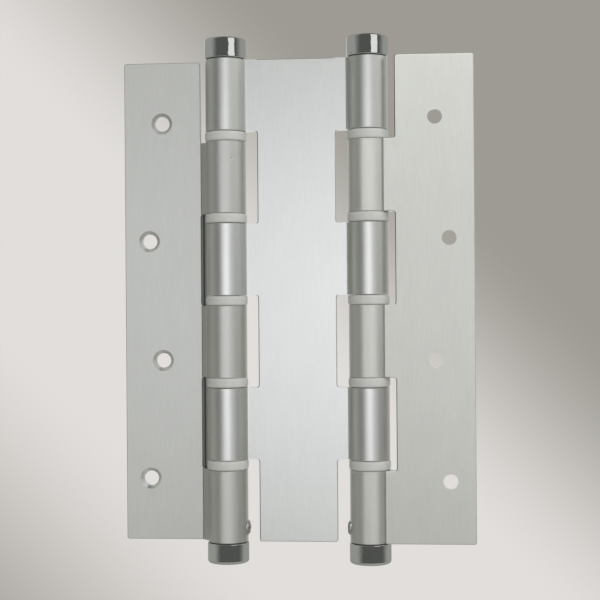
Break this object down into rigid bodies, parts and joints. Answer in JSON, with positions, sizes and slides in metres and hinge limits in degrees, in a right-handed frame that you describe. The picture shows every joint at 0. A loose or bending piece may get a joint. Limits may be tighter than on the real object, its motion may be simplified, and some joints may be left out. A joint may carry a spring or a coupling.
{
  "type": "double-acting spring hinge",
  "caption": "Double-acting spring hinge with three knuckled aluminium leaves, two sprung barrels, nylon bushes, chromed end plugs and countersunk screw holes.",
  "frame": {"origin": "middle of the centre leaf, with the hinge laid open flat", "axes": "+Z along the barrels towards the fixed plugs, +X across the leaves towards the door leaf, +Y from the front to the back, where the jamb leaf's mounting face looks"},
  "size_m": [0.1312, 0.0154, 0.1958],
  "materials": {
    "leaf_aluminium": "satin anodised",
    "bush_nylon": "natural nylon",
    "washer_nylon": "black nylon",
    "cap_chrome": "polished",
    "screw_steel": "zinc plated",
    "tube_steel": "drawn",
    "spring_steel": "oiled"
  },
  "bodies": {
    "jamb": {"jamb_leaf": "leaf_aluminium", "jamb_bush_1": "bush_nylon", "jamb_bush_2": "bush_nylon", "jamb_bush_3": "bush_nylon", "jamb_bush_4": "bush_nylon", "jamb_bush_5": "bush_nylon", "jamb_bottom_washer": "washer_nylon", "jamb_tension_plug": "cap_chrome", "jamb_stop_screw": "screw_steel"},
    "centre": {"centre_leaf": "leaf_aluminium", "jamb_pivot_tube": "tube_steel", "jamb_top_washer": "washer_nylon", "jamb_top_plug": "cap_chrome", "jamb_spring": "spring_steel", "door_pivot_tube": "tube_steel", "door_top_washer": "washer_nylon", "door_top_plug": "cap_chrome", "door_spring": "spring_steel"},
    "door": {"door_leaf": "leaf_aluminium", "door_bush_1": "bush_nylon", "door_bush_2": "bush_nylon", "door_bush_3": "bush_nylon", "door_bush_4": "bush_nylon", "door_bush_5": "bush_nylon", "door_bottom_washer": "washer_nylon", "door_tension_plug": "cap_chrome", "door_stop_screw": "screw_steel"}
  },
  "joints": [
    {"name": "jamb_hinge", "type": "hinge", "parent": "jamb", "child": "centre", "pos_m": [-0.0266, 0, 0], "axis": [0, 0, 1], "range_deg": [-180, 10], "deforming": ["jamb_spring"]},
    {"name": "door_hinge", "type": "hinge", "parent": "centre", "child": "door", "pos_m": [0.0266, 0, 0], "axis": [0, 0, 1], "range_deg": [-10, 180], "deforming": ["door_spring"]}
  ]
}
